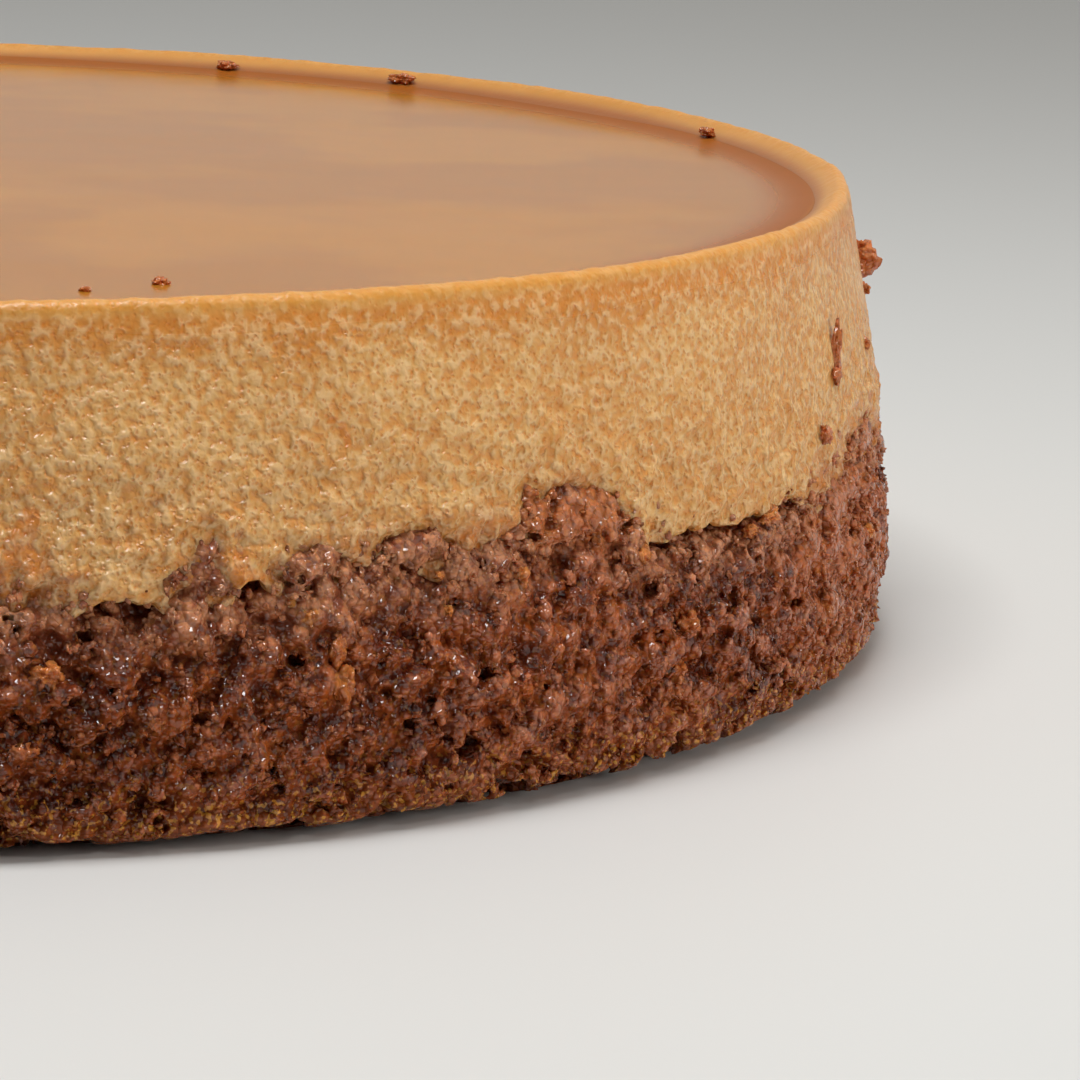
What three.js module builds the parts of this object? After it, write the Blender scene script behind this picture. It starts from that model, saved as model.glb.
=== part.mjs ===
// Chocoflan: a round two-layer cake of 20 cm, turned out of its tin.
// A layer of baked custard with a raised rim and a dished, caramel-soaked top lies on a layer of
// dark chocolate sponge. Both layers run right through the cake and show at its side.
//
// Units are millimetres and +Z is up. The cake's axis is Z and its flat base is at z = 0.
// Azimuth is in degrees, from the front (-Y) towards the right (+X).

import * as THREE from 'three';

// Overall size
const HEIGHT = 46.4;               // base to the rim's crest
const CREST_RADIUS = 100;          // half the tin's floor, where the crest forms
const DRAFT = 11;                  // degrees that the side leans out, downwards from the crest
const BULGE_TOP = 20;              // height under which the side curves back in
const BULGE_CURVE = 0.01;          // inward curve of the side under that height, per mm
const GAP = 0.3;                   // clearance between the two layers

// Foot of the sponge
const FOOT_RISE = 2.6;             // height of the rounded bottom edge
const FOOT_INSET = 6.5;            // how far the flat base stops short of the side

// Rim and dish of the custard
const CREST_ROUND = 1.1;           // rounding of the rim's crest, on the outside
const RIM_WIDTH = 7.5;             // crest to the dish's flat floor
const DISH_DEPTH = 2.4;            // crest to the dish's floor

// Where the layers meet
const LAYER_HEIGHT = 22;           // mean height of the sponge
const FLAT_HEART = 60;             // radius within which the layers meet in a plane

// Where the sponge stands higher than its mean at the side: place, half-width and rise
const SWELLS = [
  { azimuth: 27, spread: 5, rise: 1.7 },
  { azimuth: 36, spread: 3.6, rise: 4.6 },
  { azimuth: 69, spread: 4, rise: 1.4 },
  { azimuth: 118, spread: 4.5, rise: 2.8 },
  { azimuth: 171, spread: 6, rise: 1.6 },
  { azimuth: 223, spread: 3.8, rise: 3.6 },
  { azimuth: 268, spread: 5, rise: 2.0 },
  { azimuth: 321, spread: 4.2, rise: 3.1 },
];

// Unevenness: each wave has its number of periods round the cake, its height and its phase
const LAYER_WAVES = [
  { periods: 5, height: 0.28, phase: 0.6 },
  { periods: 13, height: 0.24, phase: 2.1 },
  { periods: 29, height: 0.2, phase: 4.4 },
];
const CREST_WAVES = [
  { periods: 3, height: 0.09, phase: 1.2 },
  { periods: 11, height: 0.05, phase: 3.0 },
];
const FLAN_WAVES = [
  { periods: 4, height: 0.12, phase: 0.3, climb: 0.03 },
  { periods: 17, height: 0.08, phase: 1.9, climb: 0.11 },
];
const SPONGE_WAVES = [
  { periods: 7, height: 0.16, phase: 2.6, climb: 0.1 },
  { periods: 23, height: 0.2, phase: 0.8, climb: -0.35 },
  { periods: 41, height: 0.24, phase: 5.1, climb: 0.6 },
];

// Facets
const SEGMENTS = 120;

const radians = THREE.MathUtils.degToRad;
const smoothstep = THREE.MathUtils.smoothstep;

// Sum of the waves at an azimuth; a wave with a climb turns as it goes up the side.
function waves(list, azimuth, z = 0) {
  let sum = 0;
  for (const { periods, height, phase, climb = 0 } of list) {
    sum += height * Math.sin(periods * radians(azimuth) + climb * z + phase);
  }
  return sum;
}

function depthOf(list) {
  return list.reduce((sum, wave) => sum + wave.height, 0);
}

// Smallest angle between two azimuths.
function apart(a, b) {
  const turn = Math.abs(a - b) % 360;
  return Math.min(turn, 360 - turn);
}

// The clean outline of the side, as the tin formed it.
function sideRadius(z) {
  const leaned = CREST_RADIUS + Math.tan(radians(DRAFT)) * (HEIGHT - z);
  const below = Math.max(0, BULGE_TOP - z);
  return leaned - BULGE_CURVE * below * below;
}

// Each layer's own side: its waves only take away from the clean outline.
function layerSide(list) {
  return (azimuth, z) => sideRadius(z) - depthOf(list) + waves(list, azimuth, z);
}
const flanSide = layerSide(FLAN_WAVES);
const spongeSide = layerSide(SPONGE_WAVES);

// Height at which the layers meet, uneven at the side and level at the heart.
const MEETING_EDGE = sideRadius(LAYER_HEIGHT);
function meetingHeight(azimuth, radius) {
  let rise = waves(LAYER_WAVES, azimuth);
  for (const swell of SWELLS) {
    const offset = apart(azimuth, swell.azimuth) / swell.spread;
    rise += swell.rise * Math.exp(-offset * offset);
  }
  return LAYER_HEIGHT + rise * smoothstep(radius, FLAT_HEART, MEETING_EDGE);
}

// Drop of the dished top at a distance inside the crest: steep at first, then level.
function dishDrop(inside) {
  const remaining = Math.max(0, 1 - inside / RIM_WIDTH);
  return DISH_DEPTH * (1 - remaining * remaining);
}

// A closed solid turned from rings. Each ring gives the radius and height at an azimuth, and the
// first and last rings close on a point on the axis, at the two given heights. Each patch between
// two rings is split along its shorter diagonal, so that facing surfaces are split alike.
function turnedSolid(startHeight, rings, endHeight) {
  const points = [new THREE.Vector3(0, 0, startHeight)];
  for (const ring of rings) {
    for (let i = 0; i < SEGMENTS; i += 1) {
      const azimuth = (360 * i) / SEGMENTS;
      const { radius, z } = ring(azimuth);
      const angle = radians(azimuth);
      points.push(new THREE.Vector3(radius * Math.sin(angle), -radius * Math.cos(angle), z));
    }
  }
  points.push(new THREE.Vector3(0, 0, endHeight));

  const index = [];
  const corner = (ring, i) => 1 + ring * SEGMENTS + (i % SEGMENTS);
  const length = (from, to) => points[from].distanceTo(points[to]);
  const addPatch = (a, b, c, d) => {
    if (length(a, d) < length(b, c)) {
      index.push(a, b, d, a, d, c);
    } else {
      index.push(a, b, c, b, d, c);
    }
  };
  const lastRing = rings.length - 1;
  for (let i = 0; i < SEGMENTS; i += 1) {
    index.push(0, corner(0, i + 1), corner(0, i));
    for (let ring = 0; ring < lastRing; ring += 1) {
      const next = ring + 1;
      addPatch(corner(ring, i), corner(ring, i + 1), corner(next, i), corner(next, i + 1));
    }
    index.push(points.length - 1, corner(lastRing, i), corner(lastRing, i + 1));
  }

  const geometry = new THREE.BufferGeometry().setFromPoints(points);
  geometry.setIndex(index);
  geometry.computeVertexNormals();
  return geometry;
}

// Values from one limit to the other, both included.
function spread(from, to, count) {
  return Array.from({ length: count }, (_, i) => from + ((to - from) * i) / (count - 1));
}

// Rings where the layers meet, between the level heart and the side, on one side of the gap.
function meetingRings(lift) {
  return spread(FLAT_HEART, MEETING_EDGE, 4).slice(0, -1).map((radius) => (azimuth) => ({
    radius,
    z: meetingHeight(azimuth, radius) + lift,
  }));
}

// Rings up a side, from a foot height to a top height, each given at an azimuth.
function sideRings(side, foot, top, count) {
  return spread(0, 1, count).map((share) => (azimuth) => {
    const z = foot(azimuth) + share * (top(azimuth) - foot(azimuth));
    return { radius: side(azimuth, z), z };
  });
}

// Custard layer: its underside outwards, up the side, over the crest and in over the dish.
function flanGeometry() {
  const lift = GAP / 2;
  const shoulderHeight = HEIGHT - CREST_ROUND;
  const side = sideRings(
    flanSide,
    (azimuth) => meetingHeight(azimuth, MEETING_EDGE) + lift,
    () => shoulderHeight,
    6,
  );
  const crestRadius = (azimuth) => flanSide(azimuth, shoulderHeight) - CREST_ROUND;
  const crestWave = (azimuth) => waves(CREST_WAVES, azimuth) - depthOf(CREST_WAVES);
  const crest = spread(30, 90, 3).map(radians).map((turn) => (azimuth) => ({
    radius: crestRadius(azimuth) + CREST_ROUND * Math.cos(turn),
    z: shoulderHeight + (CREST_ROUND + crestWave(azimuth)) * Math.sin(turn),
  }));
  const dish = spread(0, 1, 6).slice(1).map((share) => (azimuth) => ({
    radius: crestRadius(azimuth) - share * RIM_WIDTH,
    z: HEIGHT - dishDrop(share * RIM_WIDTH) + (1 - share) * crestWave(azimuth),
  }));
  const rings = [...meetingRings(lift), ...side, ...crest, ...dish];
  return turnedSolid(LAYER_HEIGHT + lift, rings, HEIGHT - DISH_DEPTH);
}

// Sponge layer: its flat base outwards, over the rounded foot, up the side and back in.
function spongeGeometry() {
  const lift = -GAP / 2;
  const foot = spread(0, 68, 4).map(radians).map((turn) => (azimuth) => ({
    radius: spongeSide(azimuth, FOOT_RISE) - FOOT_INSET * (1 - Math.sin(turn)),
    z: FOOT_RISE * (1 - Math.cos(turn)),
  }));
  const side = sideRings(
    spongeSide,
    () => FOOT_RISE,
    (azimuth) => meetingHeight(azimuth, MEETING_EDGE) + lift,
    8,
  );
  const rings = [...foot, ...side, ...meetingRings(lift).reverse()];
  return turnedSolid(0, rings, LAYER_HEIGHT + lift);
}

function layer(name, geometry, look) {
  const mesh = new THREE.Mesh(geometry, new THREE.MeshStandardMaterial(look));
  mesh.name = name;
  return mesh;
}

const chocoflan = new THREE.Group();
chocoflan.add(
  layer('flan', flanGeometry(), { color: 0xc9965c, roughness: 0.35, metalness: 0 }),
  layer('chocolate_sponge', spongeGeometry(), { color: 0x5e3020, roughness: 0.6, metalness: 0 }),
);

export default chocoflan;
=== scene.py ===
"""Chocoflan: the looks of a round two-layer cake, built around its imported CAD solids.

A porous, moist custard layer with a raised rim and a thin film of caramel in its dished top lies
on a layer of open chocolate crumb. A few crumbs stick to the custard.

Shapes are worked out in millimetres and turned into metres when a mesh is made. Azimuth is in
degrees, from the front (-Y) towards the right (+X). Nothing is random but the hashed noise and the
seeded draws.
"""

import math

import bmesh
import bpy
import numpy as np
from mathutils import Matrix, Vector


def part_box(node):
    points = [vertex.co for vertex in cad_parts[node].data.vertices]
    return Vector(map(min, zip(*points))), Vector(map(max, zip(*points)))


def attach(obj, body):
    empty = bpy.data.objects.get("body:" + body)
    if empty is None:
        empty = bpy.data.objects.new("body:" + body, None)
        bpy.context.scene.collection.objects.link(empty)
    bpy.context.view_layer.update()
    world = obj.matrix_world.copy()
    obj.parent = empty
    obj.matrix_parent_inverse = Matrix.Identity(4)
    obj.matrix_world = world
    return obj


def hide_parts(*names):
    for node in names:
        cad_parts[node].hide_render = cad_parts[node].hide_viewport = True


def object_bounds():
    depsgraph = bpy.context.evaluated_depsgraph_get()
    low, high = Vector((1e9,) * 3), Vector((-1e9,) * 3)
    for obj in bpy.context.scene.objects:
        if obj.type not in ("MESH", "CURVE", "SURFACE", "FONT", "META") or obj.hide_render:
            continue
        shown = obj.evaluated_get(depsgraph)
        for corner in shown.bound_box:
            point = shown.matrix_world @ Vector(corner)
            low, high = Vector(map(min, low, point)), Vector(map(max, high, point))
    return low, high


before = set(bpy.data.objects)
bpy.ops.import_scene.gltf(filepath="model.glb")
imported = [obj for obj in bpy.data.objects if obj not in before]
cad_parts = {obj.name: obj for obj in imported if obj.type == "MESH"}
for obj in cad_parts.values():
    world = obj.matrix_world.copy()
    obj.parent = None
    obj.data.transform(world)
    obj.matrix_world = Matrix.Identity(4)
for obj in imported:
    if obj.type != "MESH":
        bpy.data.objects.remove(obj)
cad_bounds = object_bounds()

MM = 0.001

# Sizes that the solids were built to, in mm. The heights and the widest radius come from the frame.
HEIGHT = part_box("flan")[1].z / MM
CREST_RADIUS = 100.0
CREST_LINE = CREST_RADIUS - 1.3    # radius of the crest's highest line
DRAFT = math.tan(math.radians(11))
BULGE_TOP = 20.0
BULGE_CURVE = 0.01
FOOT_RISE = 2.6
FOOT_INSET = 6.5
CREST_ROUND = 1.1
RIM_WIDTH = 7.5
DISH_DEPTH = 2.4
LAYER_HEIGHT = 22.0
FLAT_HEART = 60.0
TONGUE = 2.6                   # how far each layer reaches past the other where they meet
TUCK = 1.1                     # how deep the custard's side lies there
BOX_MARGIN = 0.02              # least distance inside the solids' box

# Where the sponge stands higher at the side: azimuth, half-width in degrees, rise in mm
SWELLS = [
    (27, 5, 1.7), (36, 3.6, 4.6), (69, 4, 1.4), (118, 4.5, 2.8),
    (171, 6, 1.6), (223, 3.8, 3.6), (268, 5, 2.0), (321, 4.2, 3.1),
]
# Waves round the cake: periods, height in mm, phase and climb with height
LAYER_WAVES = [(5, 0.28, 0.6, 0), (13, 0.24, 2.1, 0), (29, 0.2, 4.4, 0)]
CREST_WAVES = [(3, 0.09, 1.2, 0), (11, 0.05, 3.0, 0)]
FLAN_WAVES = [(4, 0.12, 0.3, 0.03), (17, 0.08, 1.9, 0.11)]
SPONGE_WAVES = [(7, 0.16, 2.6, 0.1), (23, 0.2, 0.8, -0.35), (41, 0.24, 5.1, 0.6)]

# Where the custard's lower edge hangs over a hollow in the crumb: azimuth, half-width in degrees
OVERHANGS = [(11.0, 2.2), (17.3, 0.9), (49, 9), (141, 6), (196, 4), (247, 8), (302, 5)]
# Crumb that was torn up over the custard's foot: azimuth, height over the meeting line, and half
# sizes along the side, upwards and outwards in mm
CLUMPS = [
    (32.9, 2.6, 1.2, 1.6, 1.0), (33.4, 0.0, 2.2, 2.0, 1.1), (35.6, 0.4, 2.6, 2.0, 1.4),
    (38.0, 0.9, 2.2, 1.8, 1.2), (37.2, -0.6, 3.2, 2.0, 1.2), (39.6, 0.2, 1.3, 1.5, 1.1),
    (20.5, 1.0, 3.2, 2.0, 1.0), (13.8, 0.7, 2.4, 1.5, 0.9), (15.0, 3.0, 1.7, 2.6, 0.8),
    (25.5, 0.8, 4.2, 1.6, 1.0),
    (69, 0.6, 4.4, 1.6, 1.0), (100, 1.4, 3.5, 1.8, 1.1), (122, 1.8, 5.0, 2.2, 1.2),
    (163, 1.0, 3.0, 1.5, 1.0), (181, 1.9, 2.2, 2.0, 1.0), (222, 2.0, 6.0, 2.3, 1.2),
    (262, 1.2, 3.4, 1.6, 1.0), (284, 2.4, 1.6, 1.7, 0.9), (318, 1.6, 4.6, 2.1, 1.2),
    (343, 1.1, 3.0, 1.5, 1.0), (355, 2.0, 1.8, 1.5, 0.9),
]
# Crumbs stuck to the custard: azimuth, height, and half sizes along, upwards and outwards in mm
STUCK_CRUMBS = [
    (63.6, 33.4, 0.75, 2.8, 0.45), (63.0, 31.2, 0.9, 0.8, 0.5), (71.8, 31.8, 0.6, 0.7, 0.5),
    (59.8, 26.6, 1.0, 0.8, 0.6), (83, 37.4, 1.5, 1.8, 2.0), (84.5, 35.9, 0.9, 0.9, 1.2),
    (79, 35.5, 0.5, 0.6, 0.5), (104, 29.5, 0.9, 1.4, 0.6), (131, 37.2, 0.6, 1.9, 0.45),
    (158, 33.0, 1.2, 0.9, 0.7), (207, 30.4, 0.8, 1.1, 0.6), (236, 40.1, 0.7, 0.6, 0.7),
    (251, 28.8, 1.4, 1.0, 0.7), (292, 34.6, 0.6, 2.1, 0.5), (334, 31.0, 0.9, 0.8, 0.6),
]
# Paler and redder crumbs in the side of the sponge, in the same way, and how pale they are
PALE_CRUMBS = [
    (7.6, 15.8, 1.4, 1.0, 1.0, 0.6), (20.2, 19.5, 0.9, 1.1, 0.9, 0.8),
    (21.6, 16.4, 0.8, 1.4, 0.8, 0.42), (21.8, 13.2, 0.95, 1.6, 0.8, 0.4),
    (27.7, 18.7, 0.45, 0.5, 0.5, 0.9), (32.2, 20.7, 0.7, 0.8, 0.7, 0.95),
    (27.4, 21.8, 0.5, 0.35, 0.4, 0.85), (52.1, 21.0, 1.6, 0.9, 1.0, 1.2),
    (40.4, 20.8, 0.9, 1.0, 0.9, 1.1), (50.2, 20.2, 0.7, 0.6, 0.6, 1.0),
    (43.9, 13.5, 1.2, 1.3, 0.9, 0.45), (12.6, 11.7, 0.6, 1.0, 0.7, 0.45),
    (6.5, 9.7, 1.1, 0.8, 0.8, 0.42), (43.0, 9.5, 0.9, 1.2, 0.8, 0.5),
    (68, 14.2, 1.1, 0.8, 0.8, 0.6), (97, 8.4, 0.8, 1.5, 0.8, 0.45), (126, 17.1, 1.0, 1.0, 0.9, 0.8),
    (166, 11.5, 1.3, 0.9, 0.8, 0.5), (199, 16.0, 0.6, 0.7, 0.6, 0.9),
    (214, 7.5, 1.0, 1.3, 0.8, 0.45), (243, 13.8, 1.2, 0.9, 0.8, 0.6),
    (271, 18.2, 0.7, 0.9, 0.7, 0.85), (296, 9.9, 0.9, 1.4, 0.8, 0.45),
    (329, 15.2, 1.2, 0.9, 0.8, 0.55), (350, 8.8, 0.8, 1.1, 0.7, 0.45),
]
# Warmer parts of the crumb, or darker ones under 0: azimuth, height, size in mm and strength. The
# broad lighter part at azimuth 64 is partly the crumb's own warmer colour and partly painted light
# on the right side; the darker ones low at the front left make the crumb darker towards the bottom
# there.
CRUMB_TONE_AND_LIGHT = [
    (33.6, 26.0, 3.6, 0.33), (37.8, 25.0, 4.0, 0.33), (22.0, 14.5, 2.6, 0.2),
    (8.0, 8.0, 8.0, -0.12), (23.0, 6.0, 8.0, -0.1), (64.0, 12.0, 18.0, 0.24),
    (34.0, 10.0, 12.0, 0.07), (44.0, 3.0, 5.0, 0.22), (110, 24.0, 3.0, 0.3),
    (160, 6.0, 5.0, 0.22), (222, 24.5, 3.0, 0.3), (262, 5.0, 5.0, 0.2), (320, 24.5, 3.2, 0.3),
]
# Marks on the custard: azimuth, height, half sizes along and upwards in mm, and strength, which is
# over 0 for an orange one and under 0 for a brown stain
MARKS = [
    (6.8, 28.6, 0.9, 1.2, 0.9), (6.3, 26.4, 1.2, 1.5, 1.0), (7.2, 24.9, 1.1, 0.8, 0.7),
    (21.8, 35.7, 0.6, 0.35, 0.9), (22.3, 35.0, 0.4, 0.6, 0.9), (22.5, 34.0, 0.4, 0.7, 0.8),
    (22.1, 33.0, 0.3, 0.4, 0.5), (16.7, 24.4, 1.0, 1.7, 0.7), (17.4, 23.0, 1.2, 0.9, 0.8),
    (14.6, 22.8, 1.4, 2.0, -0.9), (15.4, 25.2, 1.3, 1.6, -0.7), (16.7, 26.8, 0.7, 0.8, -0.6),
    (15.2, 28.2, 1.2, 0.8, -0.4), (12.9, 29.8, 0.6, 0.5, -0.5), (8.9, 24.0, 1.5, 0.6, -0.6),
    (5.2, 23.6, 1.0, 1.6, -0.7), (28.4, 24.9, 1.6, 0.5, 0.5), (112, 33.5, 0.7, 1.2, 0.8),
    (131, 26.2, 1.4, 2.0, -0.7), (155, 25.4, 1.2, 0.9, 0.7), (188, 27.0, 1.0, 1.6, 0.8),
    (217, 36.4, 0.9, 0.7, 0.8), (236, 25.9, 1.3, 1.7, -0.7), (274, 31.8, 0.7, 1.4, 0.8),
    (290, 26.0, 1.5, 1.5, -0.8), (311, 37.8, 1.0, 0.7, 0.7), (336, 27.4, 1.1, 1.6, 0.8),
]
# Crumbs on the top: azimuth, distance from the axis, and half sizes along, outwards and up in mm
TOP_CRUMBS = [
    (17.4, 80.7, 0.7, 0.6, 0.5), (12.1, 83.1, 0.5, 0.45, 0.35), (107, 95.9, 1.1, 0.7, 0.5),
    (139.6, 96.2, 1.6, 0.8, 0.6), (153.9, 95.8, 1.4, 0.8, 0.5), (203, 72, 0.7, 0.6, 0.4),
    (262, 88, 0.6, 0.6, 0.4), (318, 95.0, 0.9, 0.7, 0.5),
]

# Bubbles opened in the crumb: number, least and greatest size in mm
PORES = [(3200, 0.28, 0.5), (1100, 0.45, 0.75), (200, 0.8, 1.3)]

# Scattered granules: number, fineness, least and greatest half size in mm
FINE_GRAINS = (9200, 1, 0.17, 0.36)
COARSE_GRAINS = (2300, 2, 0.3, 0.6)
SOAKED_GRAINS = (900, 2, 0.14, 0.42)

# The shown quarter gets the finest mesh, as it is seen from closest
FRONT_AZIMUTH = 45.0
FRONT_SPREAD = 42.0
FRONT_BOOST = 2.6              # how many times denser its columns are
FLAN_COLUMNS = 1150
FLAN_ROWS = 64
SPONGE_COLUMNS = 1180
SPONGE_STEP = 0.38             # of the crumb's grid, inwards and upwards, in mm
SPONGE_TRIANGLES = 192000


# ---------------------------------------------------------------- numbers

def smoothstep(x, low, high):
    t = np.clip((x - low) / (high - low), 0, 1)
    return t * t * (3 - 2 * t)


def smooth_max(a, b, rounding):
    """The larger of two distances, with the corner between them rounded."""
    h = np.clip(rounding - np.abs(a - b), 0, None) / rounding
    return np.maximum(a, b) + h * h * rounding / 4


def hashed(x, y, z, seed):
    """A random unsigned integer for each lattice point."""
    h = x * np.uint32(374761393) + y * np.uint32(668265263) + z * np.uint32(2246822519)
    h = h + np.uint32(seed * 144665 + 974634777 & 0xFFFFFFFF)
    h = (h ^ (h >> np.uint32(13))) * np.uint32(1274126177)
    h = (h ^ (h >> np.uint32(15))) * np.uint32(2654435761)
    return h ^ (h >> np.uint32(16))


def noise(points, wavelength, seed):
    """Gradient noise of about -1 to 1 at points in mm, shape (n, 3)."""
    scaled = np.asarray(points, np.float32) / np.float32(wavelength)
    cell = np.floor(scaled)
    inside = scaled - cell
    low = (cell.astype(np.int64) & 0xFFFFFFFF).astype(np.uint32)
    fade = inside ** 3 * (inside * (inside * 6 - 15) + 10)
    total = np.zeros(len(scaled), np.float32)
    for corner in range(8):
        step = np.array([corner & 1, corner >> 1 & 1, corner >> 2], np.uint32)
        h = hashed(*(low + step).T, seed)
        away = inside - step.astype(np.float32)
        dot = np.zeros(len(scaled), np.float32)
        for axis in range(3):
            slope = (h >> np.uint32(10 * axis) & np.uint32(1023)).astype(np.float32)
            dot += (slope / 511.5 - 1) * away[:, axis]
        weight = np.where(step == 1, fade, 1 - fade).prod(1)
        total += weight * dot
    return total * 1.5


def grain_distance(points, spacing, seed):
    """Distance to the nearest of many scattered centres, in spacings: about 0.6 between them."""
    scaled = np.asarray(points, np.float32) / np.float32(spacing)
    cell = np.floor(scaled)
    inside = scaled - cell
    low = (cell.astype(np.int64) & 0xFFFFFFFF).astype(np.uint32)
    nearest = np.full(len(scaled), 9, np.float32)
    for number in range(27):
        step = np.array([number % 3, number // 3 % 3, number // 9], np.int64) - 1
        h = hashed(*(low + (step & 0xFFFFFFFF).astype(np.uint32)).T, seed)
        square = np.zeros(len(scaled), np.float32)
        for axis in range(3):
            centre = (h >> np.uint32(10 * axis) & np.uint32(1023)).astype(np.float32) / 1023
            square += (centre + step[axis].astype(np.float32) - inside[:, axis]) ** 2
        nearest = np.minimum(nearest, square)
    return np.sqrt(nearest)


# ---------------------------------------------------------------- the cake's outline

def waves(table, azimuth, z=0.0):
    turn = np.radians(azimuth)
    return sum(h * np.sin(n * turn + climb * z + phase) for n, h, phase, climb in table)


def depth_of(table):
    return sum(row[1] for row in table)


def turn_from(azimuth, place):
    """Angle from a place's azimuth, from -180 to 180 degrees."""
    return (azimuth - place + 180) % 360 - 180


def side_radius(z):
    """The clean outline of the side."""
    below = np.clip(BULGE_TOP - z, 0, None)
    return CREST_RADIUS + DRAFT * (HEIGHT - z) - BULGE_CURVE * below * below


MEETING_EDGE = float(side_radius(LAYER_HEIGHT))


def meeting_height(azimuth, radius):
    """Height at which the layers meet, uneven at the side and level at the heart."""
    rise = waves(LAYER_WAVES, azimuth)
    for place, spread, height in SWELLS:
        apart = np.abs(turn_from(azimuth, place)) / spread
        rise = rise + height * np.exp(-apart * apart)
    return LAYER_HEIGHT + rise * smoothstep(radius, FLAT_HEART, MEETING_EDGE)


def overhang(azimuth):
    """How far, 0 to 1, the custard's lower edge hangs free at an azimuth."""
    shares = [np.exp(-(turn_from(azimuth, at) / spread) ** 4) for at, spread in OVERHANGS]
    return np.max(shares, 0)


def fringe(azimuth):
    """Uneven rise of the line where the layers meet, in mm."""
    edge = point_at(azimuth, MEETING_EDGE, 0.0)
    return 0.7 * noise(edge, 7.0, 39) + 1.2 * noise(edge, 3.4, 37) + 0.8 * noise(edge, 1.6, 38)


def point_at(azimuth, radius, z):
    """Points in mm, shape (..., 3)."""
    turn = np.radians(azimuth)
    return np.stack(np.broadcast_arrays(radius * np.sin(turn), -radius * np.cos(turn), z), -1)


def azimuths(count):
    """Azimuths round the cake, denser in the shown quarter."""
    fine = np.linspace(0, 360, 7201)
    apart = np.abs(turn_from(fine, FRONT_AZIMUTH))
    density = 1 + (FRONT_BOOST - 1) * (1 - smoothstep(apart, FRONT_SPREAD, FRONT_SPREAD + 15))
    total = np.concatenate([[0], np.cumsum((density[1:] + density[:-1]) / 2)])
    return np.interp(np.arange(count) / count * total[-1], total, fine)


# ---------------------------------------------------------------- meshes

def make_piece(name, points, faces, material):
    """A smooth-shaded mesh object from points in mm."""
    mesh = bpy.data.meshes.new(name)
    mesh.from_pydata((np.asarray(points, float) * MM).tolist(), [], faces)
    mesh.validate()
    mesh.update()
    mesh.polygons.foreach_set("use_smooth", np.ones(len(mesh.polygons), bool))
    piece = bpy.data.objects.new(name, mesh)
    bpy.context.scene.collection.objects.link(piece)
    mesh.materials.append(material)
    return piece


def set_attribute(mesh, key, values):
    layer = mesh.attributes.new(key, "FLOAT", "POINT")
    layer.data.foreach_set("value", np.asarray(values, np.float32))


def mesh_points(mesh):
    found = np.empty(len(mesh.vertices) * 3, np.float32)
    mesh.vertices.foreach_get("co", found)
    return found.reshape(-1, 3) / np.float32(MM)


def thin_out(piece, triangles):
    """Decimates a piece's mesh to about that many triangles."""
    now = sum(len(face.vertices) - 2 for face in piece.data.polygons)
    if now <= triangles:
        return
    modifier = piece.modifiers.new("thin_out", "DECIMATE")
    modifier.ratio = triangles / now
    evaluated = piece.evaluated_get(bpy.context.evaluated_depsgraph_get())
    thin = bpy.data.meshes.new_from_object(evaluated)
    piece.modifiers.clear()
    old = piece.data
    piece.data = thin
    bpy.data.meshes.remove(old)
    thin.polygons.foreach_set("use_smooth", np.ones(len(thin.polygons), bool))


def ring_faces(rings, columns):
    """Quads between rings of points that close on themselves."""
    column = np.arange(columns)
    after = (column + 1) % columns
    faces = []
    for ring in range(rings - 1):
        low = ring * columns
        high = low + columns
        faces.append(np.stack([low + column, low + after, high + after, high + column], 1))
    return np.concatenate(faces).tolist()


def turned_piece(name, azimuth, rings, material):
    """A closed piece from rings of (radius, z), each an array over azimuth, closed at the axis."""
    columns = len(azimuth)
    points = [point_at(azimuth, radius, z) for radius, z in rings]
    first = points[0].mean(0) * (0, 0, 1)
    last = points[-1].mean(0) * (0, 0, 1)
    stacked = np.concatenate([*points, [first, last]])
    faces = ring_faces(len(rings), columns)
    base, top = columns * len(rings), columns * len(rings) + 1
    end = columns * (len(rings) - 1)
    for i in range(columns):
        j = (i + 1) % columns
        faces.append([base, j, i])
        faces.append([top, end + i, end + j])
    return make_piece(name, stacked, faces, material)


# Corners of a unit cell and the pairs of them that its twelve edges join
CORNERS = np.array([(i, j, k) for i in (0, 1) for j in (0, 1) for k in (0, 1)])
EDGES = [
    (a, b) for a in range(8) for b in range(a + 1, 8) if abs(CORNERS[a] - CORNERS[b]).sum() == 1
]


def surface_net(field):
    """The surface where a field is 0, as points in grid steps and quads.

    The field is negative inside, and its first axis closes on itself. Each grid cell that the
    surface passes gets one point, and each grid edge that it crosses gets one quad.
    """
    inside = field < 0
    corner_inside = [shifted(inside, *corner) for corner in CORNERS]
    count = sum(part.astype(np.int8) for part in corner_inside)
    cells = np.argwhere((count > 0) & (count < 8))
    values = np.stack([shifted(field, *corner)[tuple(cells.T)] for corner in CORNERS], 1)
    total = np.zeros((len(cells), 3), np.float32)
    crossings = np.zeros((len(cells), 1), np.float32)
    for a, b in EDGES:
        crossed = (values[:, a] < 0) != (values[:, b] < 0)
        gap = np.where(crossed, values[:, a] - values[:, b], 1)
        share = (values[:, a] / gap)[:, None]
        total += np.where(crossed[:, None], CORNERS[a] + share * (CORNERS[b] - CORNERS[a]), 0)
        crossings += crossed[:, None]
    points = cells + total / crossings
    number = np.full(count.shape, -1, np.int32)
    number[tuple(cells.T)] = np.arange(len(cells))
    return points, net_faces(inside, number)


def shifted(grid, i, j, k):
    """The grid seen from each cell's corner (i, j, k)."""
    size = [n - 1 for n in grid.shape[1:]]
    return np.roll(grid, -i, 0)[:, j:j + size[0], k:k + size[1]]


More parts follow.
